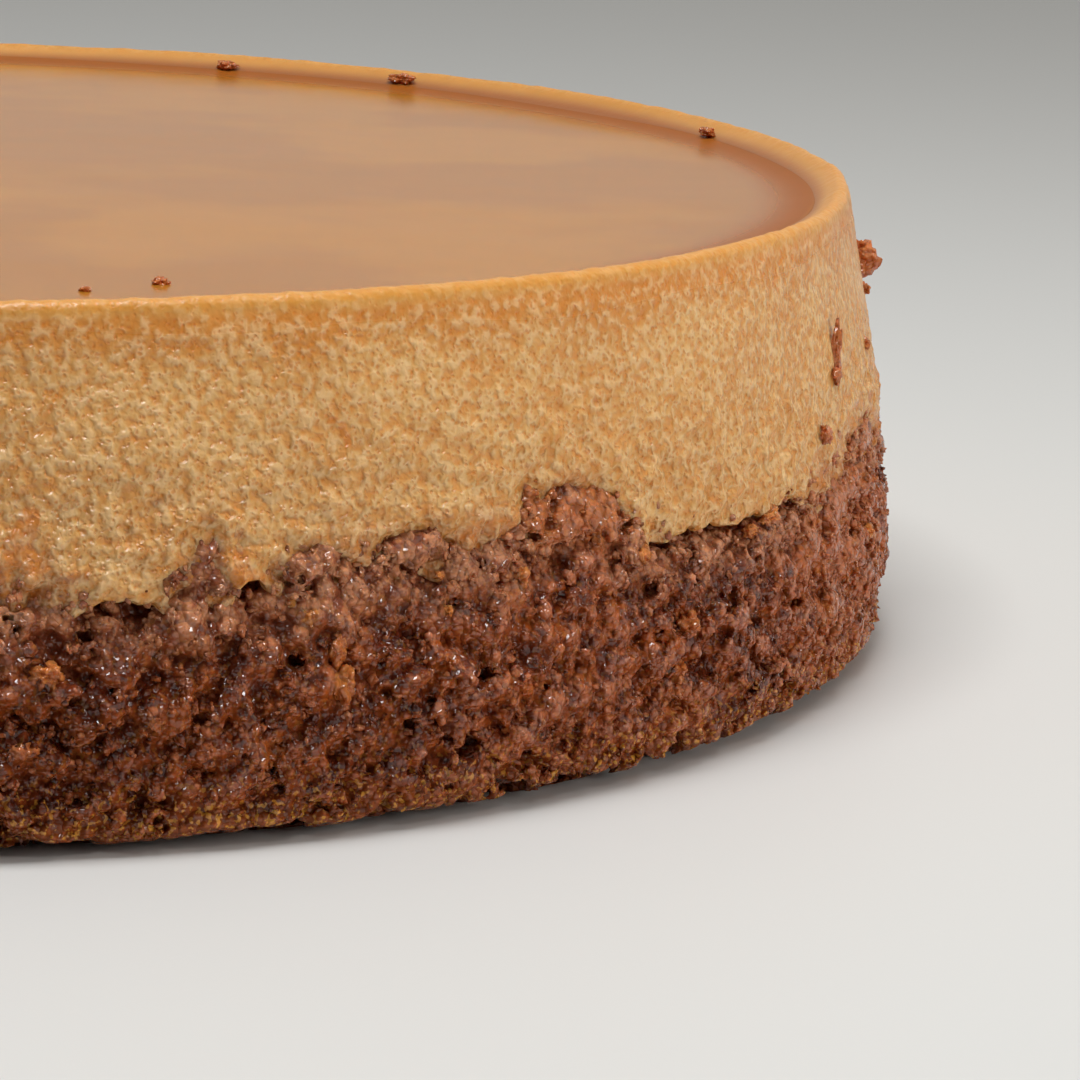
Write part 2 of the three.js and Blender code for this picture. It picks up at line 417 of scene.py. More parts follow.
def net_faces(inside, number):
    """One quad round each crossed grid edge, facing out."""
    faces = []
    for axis in range(3):
        one, two = (axis + 1) % 3, (axis + 2) % 3
        far = np.roll(inside, -1, 0) if axis == 0 else inside.take(
            range(1, inside.shape[axis]), axis)
        near = inside if axis == 0 else inside.take(range(inside.shape[axis] - 1), axis)
        edges = np.argwhere(near != far)
        keep = np.ones(len(edges), bool)
        for other in (one, two):
            if other:
                keep &= (edges[:, other] >= 1) & (edges[:, other] <= number.shape[other] - 1)
        edges = edges[keep]
        quad = []
        for back_one, back_two in ((1, 1), (0, 1), (0, 0), (1, 0)):
            cell = edges.copy()
            cell[:, one] -= back_one
            cell[:, two] -= back_two
            cell[:, 0] %= number.shape[0]
            quad.append(number[tuple(cell.T)])
        quad = np.stack(quad, 1)
        outwards = near[tuple(edges.T)]
        quad[~outwards] = quad[~outwards][:, ::-1]
        faces.append(quad)
    return np.concatenate(faces)


def open_edges(faces):
    """The directed edges that only one quad has."""
    edges = np.concatenate([faces[:, [i, (i + 1) % 4]] for i in range(4)])
    key = edges.min(1).astype(np.int64) << 32 | edges.max(1)
    _, first, times = np.unique(key, return_index=True, return_counts=True)
    return edges[first[times == 1]]


# ---------------------------------------------------------------- shader building

class Look:
    """A material's node tree, built by short calls that return sockets."""

    def __init__(self, name):
        self.material = bpy.data.materials.new(name)
        self.material.use_nodes = True
        self.tree = self.material.node_tree
        self.tree.nodes.clear()
        self.shader = self.tree.nodes.new("ShaderNodeBsdfPrincipled")
        self.shader.subsurface_method = "BURLEY"
        output = self.tree.nodes.new("ShaderNodeOutputMaterial")
        self.tree.links.new(self.shader.outputs["BSDF"], output.inputs["Surface"])
        coordinates = self.tree.nodes.new("ShaderNodeTexCoord").outputs["Object"]
        self.mm = self.vector("SCALE", coordinates, scale=1 / MM)

    def put(self, socket, value):
        if isinstance(value, bpy.types.NodeSocket):
            self.tree.links.new(value, socket)
        else:
            socket.default_value = value

    def set(self, **values):
        for key, value in values.items():
            self.put(self.shader.inputs[key.replace("_", " ")], value)

    def vector(self, operation, a, b=None, scale=None):
        node = self.tree.nodes.new("ShaderNodeVectorMath")
        node.operation = operation
        self.put(node.inputs[0], a)
        if b is not None:
            self.put(node.inputs[1], b)
        if scale is not None:
            self.put(node.inputs["Scale"], scale)
        return node.outputs["Vector"]

    def math(self, operation, a, b=0.0, c=0.0):
        node = self.tree.nodes.new("ShaderNodeMath")
        node.operation = operation
        for socket, value in zip(node.inputs, (a, b, c)):
            self.put(socket, value)
        return node.outputs[0]

    def noise(self, wavelength, detail=2.0, roughness=0.5, at=None, seed=0.0):
        """Noise of 0 to 1 with lumps about half a wavelength wide, in mm."""
        node = self.tree.nodes.new("ShaderNodeTexNoise")
        moved = self.vector("ADD", at or self.mm, (seed * 37.7, seed * 11.3, seed * 71.9))
        self.put(node.inputs["Vector"], moved)
        node.inputs["Scale"].default_value = 1 / wavelength
        node.inputs["Detail"].default_value = detail
        node.inputs["Roughness"].default_value = roughness
        return node.outputs["Fac"]

    def cells(self, spacing, at):
        """Distance to the nearest of many scattered centres, in spacings."""
        node = self.tree.nodes.new("ShaderNodeTexVoronoi")
        self.put(node.inputs["Vector"], at)
        node.inputs["Scale"].default_value = 1 / spacing
        return node.outputs["Distance"]

    def step(self, value, low, high, start=0.0, end=1.0):
        """A smooth change from start to end as value goes from low to high."""
        node = self.tree.nodes.new("ShaderNodeMapRange")
        node.interpolation_type = "SMOOTHSTEP"
        for key, number in (("Value", value), ("From Min", low), ("From Max", high),
                            ("To Min", start), ("To Max", end)):
            self.put(node.inputs[key], number)
        return node.outputs["Result"]

    def mix(self, share, a, b):
        """Colour a, or b where the share is 1."""
        node = self.tree.nodes.new("ShaderNodeMix")
        node.data_type = "RGBA"
        self.put(node.inputs["Factor"], share)
        self.put(node.inputs["A"], a)
        self.put(node.inputs["B"], b)
        return node.outputs["Result"]

    def attribute(self, key):
        node = self.tree.nodes.new("ShaderNodeAttribute")
        node.attribute_name = key
        return node.outputs["Fac"]

    def warped(self, wavelength, reach):
        """Coordinates moved about by noise, so that shapes made on them aren't regular."""
        node = self.tree.nodes.new("ShaderNodeTexNoise")
        self.put(node.inputs["Vector"], self.mm)
        node.inputs["Scale"].default_value = 1 / wavelength
        node.inputs["Detail"].default_value = 1.0
        centred = self.vector("SUBTRACT", node.outputs["Color"], (0.5, 0.5, 0.5))
        return self.vector("ADD", self.mm, self.vector("SCALE", centred, scale=reach))

    def normal_z(self):
        """How far the surface faces up: 1 on a level top and -1 on an underside."""
        geometry = self.tree.nodes.new("ShaderNodeNewGeometry")
        split = self.tree.nodes.new("ShaderNodeSeparateXYZ")
        self.put(split.inputs[0], geometry.outputs["Normal"])
        return split.outputs["Z"]

    def bump(self, height_mm):
        node = self.tree.nodes.new("ShaderNodeBump")
        node.inputs["Distance"].default_value = MM
        self.put(node.inputs["Height"], height_mm)
        self.set(Normal=node.outputs["Normal"])


def tint(red, green, blue):
    """An sRGB colour of 0 to 255 as the linear colour that a shader takes."""
    channels = [value / 255 for value in (red, green, blue)]
    linear = [c / 12.92 if c <= 0.04045 else ((c + 0.055) / 1.055) ** 2.4 for c in channels]
    return (*linear, 1.0)


# ---------------------------------------------------------------- materials

def flan_look():
    look = Look("porous_custard")
    below = look.attribute("below_crest")
    inside = look.attribute("inside_crest")
    outer_side = look.step(inside, -0.6, 1.2, 1.0, 0.0)
    rough_share = look.math("MULTIPLY", outer_side, look.step(below, 0.5, 2.4, 0.3, 1.0))

    organic = look.warped(0.7, 0.35)
    crowd = look.noise(2.4, detail=1, seed=12)
    lumps = look.noise(0.9, detail=1.5, roughness=0.5, at=organic, seed=4)
    bubble = look.cells(0.52, organic)
    pit = look.step(look.math("MULTIPLY_ADD", crowd, -0.3, bubble), -0.1, 0.34, 1.0, 0.0)
    crater = look.step(look.cells(2.1, organic), 0.08, 0.24, 1.0, 0.0)

    # Darker orange in the pores and craters: partly caramel soaked into them, partly painted shade
    # in these hollows.
    pore_stain_and_shade = look.math("MAXIMUM", look.math("MULTIPLY", pit, 0.6),
                     look.math("MULTIPLY", crater, 0.45))
    # Cream on the tops of the lumps and orange in the hollows between them: partly the custard's
    # own mottling, partly painted light on the tops and painted shade in the hollows.
    cream_and_lit_tops = look.mix(look.math("MULTIPLY", look.step(lumps, 0.45, 0.66, 0.0, 0.45), rough_share),
                      custard_colour(look, below), tint(242, 204, 152))
    toasted_and_shaded_hollows = look.mix(look.math("MULTIPLY", look.step(lumps, 0.52, 0.32, 0.0, 0.45), rough_share),
                       cream_and_lit_tops, tint(212, 124, 38))
    with_pore_stain_and_shade = look.mix(look.math("MULTIPLY", pore_stain_and_shade, rough_share), toasted_and_shaded_hollows, tint(208, 118, 30))
    look.set(Base_Color=top_colour(look, inside, with_pore_stain_and_shade))

    height = look.math("MULTIPLY", lumps, 0.75)
    height = look.math("MULTIPLY_ADD", pit, -0.11, height)
    height = look.math("MULTIPLY_ADD", crater, -0.13, height)
    lower = look.math("ADD", look.step(below, 1.0, 4.0, 0.2, 0.6),
                      look.step(below, 4.0, 22.0, 0.0, 0.65))
    strength = look.math("MULTIPLY", outer_side, lower)
    look.bump(look.math("MULTIPLY", height, look.math("ADD", strength, 0.04)))
    look.set(Roughness=look.step(inside, -2.2, -0.2, 0.24, 0.45), IOR=1.5, Subsurface_Weight=0.6,
             Subsurface_Radius=(1.0, 0.5, 0.22), Subsurface_Scale=1.3 * MM)
    return look.material


def custard_colour(look, below):
    """Tan, darker under the soaked crest, stained brown at the foot, and marked here and there."""
    above = look.attribute("above_meeting")
    broad = look.noise(9, detail=3, seed=2)
    tan = look.mix(look.step(broad, 0.35, 0.65), tint(215, 159, 93), tint(221, 169, 103))
    soaked_share = look.math("MULTIPLY", look.step(below, 0.9, 2.0), look.step(
        look.math("ADD", below, look.math("MULTIPLY", broad, 5.0)), 4.5, 9.5, 1.0, 0.0))
    soaked = look.mix(look.math("MULTIPLY", soaked_share, 0.7), tan, tint(206, 130, 54))
    crest = look.mix(look.step(below, 0.6, 2.0, 1.0, 0.0), soaked, tint(210, 146, 64))
    patchy = look.math("ADD", look.math("MULTIPLY", look.noise(3, seed=3), -7.0),
                       look.math("MULTIPLY", look.noise(1.1, detail=2, seed=13), -5.0))
    brown = look.step(look.math("ADD", above, patchy), -6.4, -0.6, 0.85, 0.0)
    stained = look.mix(brown, crest, tint(184, 116, 68))
    mark = look.math("ADD", look.attribute("mark"),
                     look.math("MULTIPLY_ADD", look.noise(0.9, detail=2, seed=14), 0.5, -0.25))
    marked = look.mix(look.step(mark, 0.25, 0.6, 0.0, 0.8), stained, tint(216, 134, 66))
    return look.mix(look.step(mark, -0.2, -0.6, 0.0, 0.75), marked, tint(158, 92, 58))


def top_colour(look, inside, outer):
    """Colour from the crest inwards: browned slope, then the caramel's blotches."""
    blotches = look.noise(34, detail=3, roughness=0.45, seed=10)
    dish = look.mix(look.step(blotches, 0.42, 0.6), tint(168, 107, 34), tint(179, 116, 32))
    slope = look.mix(look.step(inside, 4.5, 10.0), tint(158, 88, 29), dish)
    return look.mix(look.step(inside, 0.2, 3.2), outer, slope)


def sponge_look(name="open_crumb"):
    look = Look(name)
    above = look.attribute("above_base")
    gap = look.attribute("gap")
    # Orange near the base: partly syrup and baked skin, partly painted warm light bounced up from
    # below.
    base_syrup_and_glow = look.step(above, 0.6, 5.0, 0.5, 0.0)
    soaked = look.mix(base_syrup_and_glow, crumb_colour(look, gap), tint(166, 84, 28))
    # Golden flecks, dense near the base: partly flecks of the crumb's own colour, partly painted
    # golden glints of reflected light.
    gold_flecks_and_glints = look.step(look.noise(0.5, detail=1, seed=7), 0.56, 0.64)
    gold_glint_share = look.math("MULTIPLY", gold_flecks_and_glints, look.step(above, 1.5, 8.0, 0.85, 0.12))
    with_gold_glints = look.mix(gold_glint_share, soaked, tint(232, 160, 62))
    # Painted shade: darker deep behind the clean outline and between the grains.
    recess_shade = look.math("MAXIMUM", look.step(look.attribute("depth"), 1.8, 3.8, 0.0, 0.8),
                       look.step(gap, 0.52, 0.8, 0.0, 0.75))
    look.set(Base_Color=look.mix(recess_shade, with_gold_glints, tint(100, 38, 17)))

    dome = look.cells(0.8, look.warped(0.9, 0.3))
    height = look.math("MULTIPLY", look.math("MULTIPLY", dome, dome), -0.95)
    height = look.math("MULTIPLY_ADD", look.noise(0.7, detail=1, seed=9), 0.5, height)
    look.bump(look.math("MULTIPLY", height, look.step(above, 7.0, 17.0, 1.3, 1.0)))
    look.set(Roughness=0.1, IOR=1.63, Subsurface_Weight=0.3,
             Subsurface_Radius=(1.0, 0.3, 0.14), Subsurface_Scale=1.0 * MM)
    return look.material


def crumb_colour(look, gap):
    """Dark brown between the grains to reddish and pale on them, partly painted shade and light; a
    painted orange glow where surfaces face down; milky under the custard.
    """
    below = look.attribute("below_meeting")
    tone = look.attribute("tone")
    patches = look.noise(3.4, detail=3, roughness=0.6, seed=5)
    # The gap between grains darkens the colour there and lightens it on the grains: painted shade
    # and light, added to the crumb's own tones and patches.
    tone_and_crevice_shade = look.math("MULTIPLY_ADD", gap, -0.7, look.math("ADD", tone, 0.22))
    tone_and_crevice_shade = look.math("MULTIPLY_ADD", patches, 0.3, tone_and_crevice_shade)
    grains = look.math("ADD", look.noise(1.3, detail=3, roughness=0.65, seed=6), tone_and_crevice_shade)
    brown = look.mix(look.step(grains, 0.36, 0.6), tint(76, 27, 11), tint(122, 54, 26))
    brown = look.mix(look.step(grains, 0.58, 0.76), brown, tint(198, 118, 80))
    reddish = look.math("MULTIPLY_ADD", tone, 0.5, patches)
    red = look.mix(look.step(reddish, 0.52, 0.68, 0.0, 0.8), brown, tint(178, 88, 34))
    pale_share = look.math("ADD", look.step(tone, 0.3, 0.9), look.math(
        "MULTIPLY", look.noise(1.0, detail=2, seed=15), look.step(tone, 0.2, 0.35, 0.0, 0.5)))
    warm = look.mix(pale_share, red, tint(212, 130, 64))
    # Painted glow: surfaces that face down turn orange, as if lit through or from below.
    under = look.step(look.normal_z(), 0.3, -0.45, 0.0, 0.7)
    with_underside_glow = look.mix(under, warm, tint(176, 84, 34))
    soak = look.step(look.math("ADD", below, look.math("MULTIPLY", patches, -6.0)),
                     -2.6, 4.0, 0.85, 0.0)
    soak = look.math("MULTIPLY", soak, look.step(tone, 0.1, 0.28, 1.0, 0.15))
    pale = look.mix(look.step(grains, 0.4, 0.62), tint(162, 90, 60), tint(210, 140, 98))
    return look.mix(soak, with_underside_glow, pale)


def caramel_look():
    look = Look("caramel_film")
    inside = look.attribute("inside_crest")
    look.set(Base_Color=top_colour(look, inside, tint(210, 146, 64)))
    look.bump(look.math("MULTIPLY", look.noise(22, detail=2, seed=11), 0.2))
    look.set(Roughness=look.step(inside, 2.5, 9.0, 0.45, 0.17), IOR=1.18, Subsurface_Weight=0.3,
             Subsurface_Radius=(1.0, 0.5, 0.2), Subsurface_Scale=2.0 * MM)
    return look.material


# ---------------------------------------------------------------- pieces

def make_flan():
    azimuth = azimuths(FLAN_COLUMNS)
    free = overhang(azimuth)
    meeting = meeting_height(azimuth, MEETING_EDGE) + (1 - 0.3 * free) * fringe(azimuth)
    foot = meeting - (TONGUE + 0.4) * (1 - free) - 0.3 * free
    crest_base = HEIGHT - CREST_ROUND
    dent = depth_of(FLAN_WAVES)

    def side(z):
        tuck = (1 - 0.8 * free) * TUCK * (1 - smoothstep(z - meeting, -2.4, 2.6))
        return side_radius(z) - dent + waves(FLAN_WAVES, azimuth, z) - tuck

    rings = [(np.full_like(azimuth, radius), meeting_height(azimuth, radius))
             for radius in (FLAT_HEART, 82.0, 97.0)]
    rings.append((side(foot) - 2.4, foot + 0.9))
    rings.append((side(foot) - 1.0, foot + 0.1))
    for share in np.linspace(0, 1, FLAN_ROWS):
        z = foot + 0.35 * (1 - share) ** 8 + share * (crest_base - foot)
        rings.append((side(z) - 0.4 * (1 - share) ** 30, z))
    crest_radius = side(crest_base) - CREST_ROUND
    crest_wave = waves(CREST_WAVES, azimuth) - depth_of(CREST_WAVES)
    for turn in np.radians([22, 45, 68, 90]):
        rings.append((crest_radius + CREST_ROUND * math.cos(turn),
                      crest_base + (CREST_ROUND + crest_wave) * math.sin(turn)))
    for inside in (0.5, 1.0, 1.6, 2.4, 3.4, 4.6, 6.0, 7.5, 14):
        left = max(0.0, 1 - inside / RIM_WIDTH)
        rings.append((crest_radius - inside, HEIGHT - dish_drop(inside) + left * crest_wave))

    piece = turned_piece("flan_layer", azimuth, rings, flan_look())
    relief_flan(piece.data, mesh_points(piece.data))
    return piece


def dish_drop(inside):
    """Drop of the dished top under the crest: steep at first, then level."""
    left = np.clip(1 - np.asarray(inside) / RIM_WIDTH, 0, 1)
    return DISH_DEPTH * (1 - left * left)


def polar(points):
    azimuth = np.degrees(np.arctan2(points[:, 0], -points[:, 1]))
    return azimuth, np.hypot(points[:, 0], points[:, 1])


def relief_flan(mesh, points):
    """Lumps on the side and crest, set back so that they stay within the outline."""
    azimuth, radius = polar(points)
    z = points[:, 2]
    above = z - meeting_height(azimuth, MEETING_EDGE)
    side = smoothstep(radius, side_radius(z) - 3.6, side_radius(z) - 2.0)
    low = 1 - smoothstep(above, 3.0, 15.0)
    broad = 0.3 * noise(points, 9.0, 26)
    lumps = 0.5 * noise(points, 2.6, 23) + 0.9 * (0.55 - grain_distance(points, 1.3, 24))
    combed = noise(points * (0.4, 0.4, 1.0), 1.5, 25)
    lumps *= 1 - 0.75 * smoothstep(z, HEIGHT - 3.0, HEIGHT - 1.0)
    relief = broad + (0.12 + 0.45 * low) * lumps + (0.04 + 0.2 * low) * combed - 0.35
    lip = (1 - smoothstep(above, -1.0, 4.5)) * (1 - 0.7 * overhang(azimuth))
    relief += 1.7 * lip * (0.34 - grain_distance(points, 1.8, 29))
    relief -= under_clumps(azimuth, above)
    shown = points.copy()
    outwards = points[:, :2] / np.maximum(radius, 1)[:, None]
    shown[:, :2] += outwards * (side * relief)[:, None]
    on_crest = smoothstep(z, HEIGHT - 2.0, HEIGHT - 0.8) * smoothstep(radius, 96.0, 98.4)
    shown[:, 2] += on_crest * (0.1 * noise(points, 2.2, 27) + 0.05 * noise(points, 1.0, 28) - 0.1)
    mesh.vertices.foreach_set("co", (shown * MM).astype(np.float32).ravel())
    mesh.update()
    set_attribute(mesh, "below_crest", HEIGHT - shown[:, 2])
    set_attribute(mesh, "above_meeting", above + 5 * overhang(azimuth))
    set_attribute(mesh, "inside_crest", CREST_LINE - radius)
    set_attribute(mesh, "mark", marks_at(azimuth, z))


def marks_at(azimuth, z):
    """How marked the custard is: up to 1 for orange, down to -1 for brown."""
    total = np.zeros(len(azimuth))
    for place, height, along, up, strength in MARKS:
        apart = np.hypot(beside(azimuth, place) / along, (z - height) / up)
        total += strength * (1 - smoothstep(apart, 0.4, 1.6))
    return np.clip(total, -1, 1)


def beside(azimuth, place):
    """Distance along the side from a place's azimuth, in mm."""
    return turn_from(azimuth, place) * (math.pi / 180 * MEETING_EDGE)


def under_clumps(azimuth, above):
    """Depth of the hollows in the custard's side that the clumps of crumb lie in."""
    depth = np.zeros(len(azimuth))
    for place, over, along, up, _ in CLUMPS:
        apart = np.hypot(beside(azimuth, place) / (along + 0.6), (above - over) / (up + 0.6))
        depth = np.maximum(depth, 0.55 * (1 - smoothstep(apart, 0.3, 1.2)))
    return depth


def sponge_field(azimuth, inset, z):
    """Distance to the crumb's surface over a grid: negative inside."""
    a, s, h = np.meshgrid(azimuth, inset, z, indexing="ij")
    radius = side_radius(np.maximum(h, FOOT_RISE)) - s
    points = point_at(a, radius, h).reshape(-1, 3).astype(np.float32)
    shape = a.shape
    remaining = np.clip(1 - h / FOOT_RISE, 0, 1)
    foot = FOOT_INSET * (1 - np.sqrt(np.clip(1 - remaining * remaining, 0, 1)))
    meeting = meeting_height(a, radius)
    free = overhang(azimuth)[:, None, None]
    tuck = 1.7 * free * smoothstep(h - meeting, -2.0, 0.2)
    tuck += (1 - free) * 0.22 * np.clip(h - meeting + 1.5, 0, None)
    side = foot + tuck - s
    ridge = (TONGUE + fringe(azimuth)[:, None, None]) * (1 - free) + 0.6 * free
    ridge = ridge * (1 - smoothstep(s, 3.0, 4.6))
    clean = smooth_max(side, h - meeting - ridge, 0.8)
    clean = smooth_max(clean, -h, 0.3)

    outer = 1 - smoothstep(s - foot, 3.0, 5.0)
    off_base = smoothstep(h, 0.0, 1.6)
    rough = (outer * (0.3 + 0.7 * off_base) * smoothstep(h, 0.0, 0.5)).ravel()
    near = (rough > 0) & (np.abs(side.ravel()) < 5.5)
    p = points[near]
    squat = np.array([1.0, 1.0, 1.5], np.float32)
    crumb = 0.5 * noise(p, 7.0, 31) + 1.0 * noise(p * squat, 4.0, 32) - 0.03
    crumb += 1.7 * grain_distance(p, 2.4, 33) + 1.0 * grain_distance(p, 1.2, 34)
    relief = np.zeros(len(points), np.float32)
    relief[near] = crumb * rough[near]
    warp = np.zeros(len(points), np.float32)
    warp[near] = noise(p, 1.3, 35) + 0.6 * noise(p, 0.8, 36)
    field = clean + relief.reshape(shape)
    add_clumps(field, a, s, h, meeting, warp.reshape(shape))
    carve_pores(field, azimuth, inset, z, warp.reshape(shape), off_base)
    outline = 0.05 + depth_of(SPONGE_WAVES) - waves(SPONGE_WAVES, a, h)
    return smooth_max(field, 0.78 * outline + foot - s, 0.7).astype(np.float32)


def add_clumps(field, a, s, h, meeting, warp):
    """Torn crumb that stands over the custard's foot."""
    for place, over, along, up, out in CLUMPS:
        away = beside(a, place)
        near = np.abs(away[:, 0, 0]) < along + 1.5
        shape = np.sqrt((away[near] / along) ** 2 + ((h - meeting)[near] / up - over / up) ** 2
                        + ((s[near] - 1.9) / (out + 0.7)) ** 2)
        clump = (shape - 1) * min(along, up) + 1.1 * warp[near]
        field[near] = -smooth_max(-field[near], -clump, 0.4)


def carve_pores(field, azimuth, inset, z, warp, strength):
    """Bubbles of many sizes, opened where they meet the crumb's surface."""
    draw = np.random.default_rng(7)
    round_length = 2 * math.pi * side_radius(10.0)
    turn_mm = np.asarray(azimuth) / 360 * round_length
    for count, small, large in PORES:
        for _ in range(count):
            at = draw.uniform(0, round_length)
            depth = draw.uniform(0.2, 2.5)
            height = draw.uniform(1.8, z[-1])
            size = draw.uniform(small, large)
            long = draw.uniform(0.8, 2.0)
            reach = size * long * 1.3 + 0.5
            i0, i1 = np.searchsorted(turn_mm, (at - reach, at + reach))
            j0, j1 = np.searchsorted(inset, (depth - reach, depth + reach))
            k0, k1 = np.searchsorted(z, (height - reach, height + reach))
            if i0 == i1 or j0 == j1 or k0 == k1:
                continue
            block = np.s_[i0:i1, j0:j1, k0:k1]
            du = (turn_mm[i0:i1] - at)[:, None, None] / long
            dv = (inset[j0:j1] - depth)[None, :, None]
            dw = (z[k0:k1] - height)[None, None, :]
            ball = size - np.sqrt(du * du + dv * dv + dw * dw) + 0.5 * size * warp[block]
            ball = ball * strength[block] - 2 * (1 - strength[block])
            field[block] = smooth_max(field[block], ball, 0.3)


def make_sponge():
    azimuth = azimuths(SPONGE_COLUMNS)
    inset = np.arange(-1.2, 7.9, SPONGE_STEP)
    z = np.arange(-0.57, 28.4, SPONGE_STEP)
    field = sponge_field(azimuth, inset, z)
    grid, quads = surface_net(field)
    wrapped = np.append(azimuth, 360.0)
    turn = np.interp(grid[:, 0] % len(azimuth), np.arange(len(wrapped)), wrapped)
    s = np.interp(grid[:, 1], np.arange(len(inset)), inset)
    h = np.interp(grid[:, 2], np.arange(len(z)), z)
    points = point_at(turn, side_radius(np.maximum(h, FOOT_RISE)) - s, h)

    rim = open_edges(quads)
    upper = points[rim[:, 0], 2] > LAYER_HEIGHT / 2
    centres = [(0, 0, 0), (0, 0, LAYER_HEIGHT)]
    hub = len(points) + upper
    caps = np.stack([rim[:, 1], rim[:, 0], hub], 1)
    points = np.concatenate([points, centres])
    faces = quads.tolist() + caps.tolist()
    piece = make_piece("sponge_layer", points, faces, sponge_look())
    thin_out(piece, SPONGE_TRIANGLES)
    points = kept_in_box(mesh_points(piece.data))
    piece.data.vertices.foreach_set("co", (points * np.float32(MM)).ravel())
    piece.data.update()
    # Distance from the grains' centres, which the look turns into painted shade between the grains.
    between = 0.5 * grain_distance(points, 2.4, 33) + 0.5 * grain_distance(points, 1.2, 34)
    set_sponge_attributes(piece.data, gap=between)
    return piece


def kept_in_box(points):
    """The points, with the few that lie a hair outside the solids' box brought back into it."""
    low, high = (np.array(corner, np.float32) / np.float32(MM) for corner in cad_bounds)
    kept = np.clip(points, low + BOX_MARGIN, high - BOX_MARGIN)
    kept[:, 2] = np.maximum(points[:, 2], 0)
    return kept


def set_sponge_attributes(mesh, tone=0.0, gap=0.35):
    points = mesh_points(mesh)
    azimuth, radius = polar(points)
    tone_and_light = np.zeros(len(points))
    for place, height, size, strength in CRUMB_TONE_AND_LIGHT:
        apart = np.hypot(beside(azimuth, place), points[:, 2] - height) / size
        tone_and_light += strength * (1 - smoothstep(apart, 0.5, 1.4))
    # The depth behind the clean outline, which the look turns into painted shade.
    set_attribute(mesh, "depth", side_radius(points[:, 2]) - radius)
    set_attribute(mesh, "above_base", points[:, 2])
    set_attribute(mesh, "below_meeting", meeting_height(azimuth, MEETING_EDGE) - points[:, 2])
    set_attribute(mesh, "tone", tone + tone_and_light)
    set_attribute(mesh, "gap", np.broadcast_to(gap, len(points)))


def make_caramel():
    """A thin film that coats the rim's inner slope and lies level in the dish."""
    azimuth = np.linspace(0, 360, 360, endpoint=False)
    crest = side_radius(HEIGHT - CREST_ROUND) - depth_of(FLAN_WAVES) - CREST_ROUND
    crest = crest + waves(FLAN_WAVES, azimuth, HEIGHT - CREST_ROUND)
    rings = [(crest - 40, np.full_like(azimuth, HEIGHT - DISH_DEPTH - 0.4))]
    for inside in (9.0, 6.5, 5.0, 3.5, 2.6):
        rings.append((crest - inside, np.full_like(azimuth, HEIGHT - dish_drop(inside) - 0.35)))
    for inside in (2.5, 2.9, 3.3, 3.8, 4.4, 5.1, 6.0, 7.2, 8.8):
        coat = -0.2 * (1 - smoothstep(inside, 2.4, 3.8)) + 0.25 * smoothstep(inside, 3.0, 8.0)
        rings.append((crest - inside, np.full_like(azimuth, HEIGHT - dish_drop(inside) + coat)))
    for inside in np.linspace(11, 94, 28):
        rings.append((crest - inside, np.full_like(azimuth, HEIGHT - DISH_DEPTH + 0.25)))
    piece = turned_piece("caramel_film", azimuth, rings, caramel_look())
    _, radius = polar(mesh_points(piece.data))
    set_attribute(piece.data, "inside_crest", CREST_LINE - radius)
    return piece


def lumpy_ball(sizes, seed, fineness=4):
    """Points and faces of an irregular crumb about the origin, with half sizes in mm."""
    ball = bmesh.new()
    bmesh.ops.create_icosphere(ball, subdivisions=fineness, radius=1)
    points = np.array([vertex.co for vertex in ball.verts])
    faces = np.array([[vertex.index for vertex in face.verts] for face in ball.faces])
    ball.free()
    at = points * 1.3 + seed * 5.3
    swell = 1 + 0.5 * noise(at, 1.1, 41) + 0.35 * noise(at, 0.5, 42) + 0.2 * noise(at, 0.26, 43)
    return points * swell[:, None] * sizes, faces


def join(parts):
    """One list of points and faces from several."""
    points, faces, start = [], [], 0
    for part_points, part_faces in parts:
        points.append(part_points)
        faces.append(part_faces + start)
        start += len(part_points)
    return np.concatenate(points), np.concatenate(faces).tolist()


def turned_out(points, azimuth, radius, z):
    """Moves points given along the side, up and out to an azimuth, radius and height."""
    turn = math.radians(azimuth)
    along = np.array([math.cos(turn), math.sin(turn), 0])
    out = np.array([math.sin(turn), -math.cos(turn), 0])
    up = np.array([0, 0, 1.0])
    moved = points[:, :1] * along + points[:, 1:2] * up + (points[:, 2:] + radius) * out
    return moved + up * z


def on_side(table, seed, seat):
    """Crumbs on the side, with their middles a seat's depth behind the clean outline."""
    parts = []
    for number, (azimuth, z, along, up, out) in enumerate(table):
        points, faces = lumpy_ball((along, up, out), seed + number)
        parts.append((turned_out(points, azimuth, side_radius(z) - seat, z), faces))
    return parts


def on_top(table, seed):
    parts = []
    for number, (azimuth, radius, along, out, up) in enumerate(table):
        points, faces = lumpy_ball((along, up, out), seed + number)
        seat = HEIGHT - float(dish_drop(CREST_LINE - radius)) + 0.2 + 0.3 * up
        z = min(seat, HEIGHT - 0.1 - points[:, 1].max())
        parts.append((turned_out(points, azimuth, radius, z), faces))
    return parts


def make_stuck_crumbs():
    points, faces = join(on_side(STUCK_CRUMBS, 1, 0.45) + on_top(TOP_CRUMBS, 60))
    piece = make_piece("stuck_crumbs", points, faces, sponge_look("stuck_crumb"))
    count = len(points)
    for key, value in (("depth", 0.0), ("above_base", 20.0), ("below_meeting", 2.0),
                       ("tone", 0.38), ("gap", 0.3)):
        set_attribute(piece.data, key, np.full(count, value))
    return piece


def make_pale_crumbs(sponge):
    parts = on_side([row[:5] for row in PALE_CRUMBS], 30, 1.5)
    tones = [np.full(len(points), row[5]) for (points, _), row in zip(parts, PALE_CRUMBS)]
    points, faces = join(parts)
    piece = make_piece("pale_crumbs", points, faces, sponge.data.materials[0])
    set_sponge_attributes(piece.data, np.concatenate(tones))
    return piece


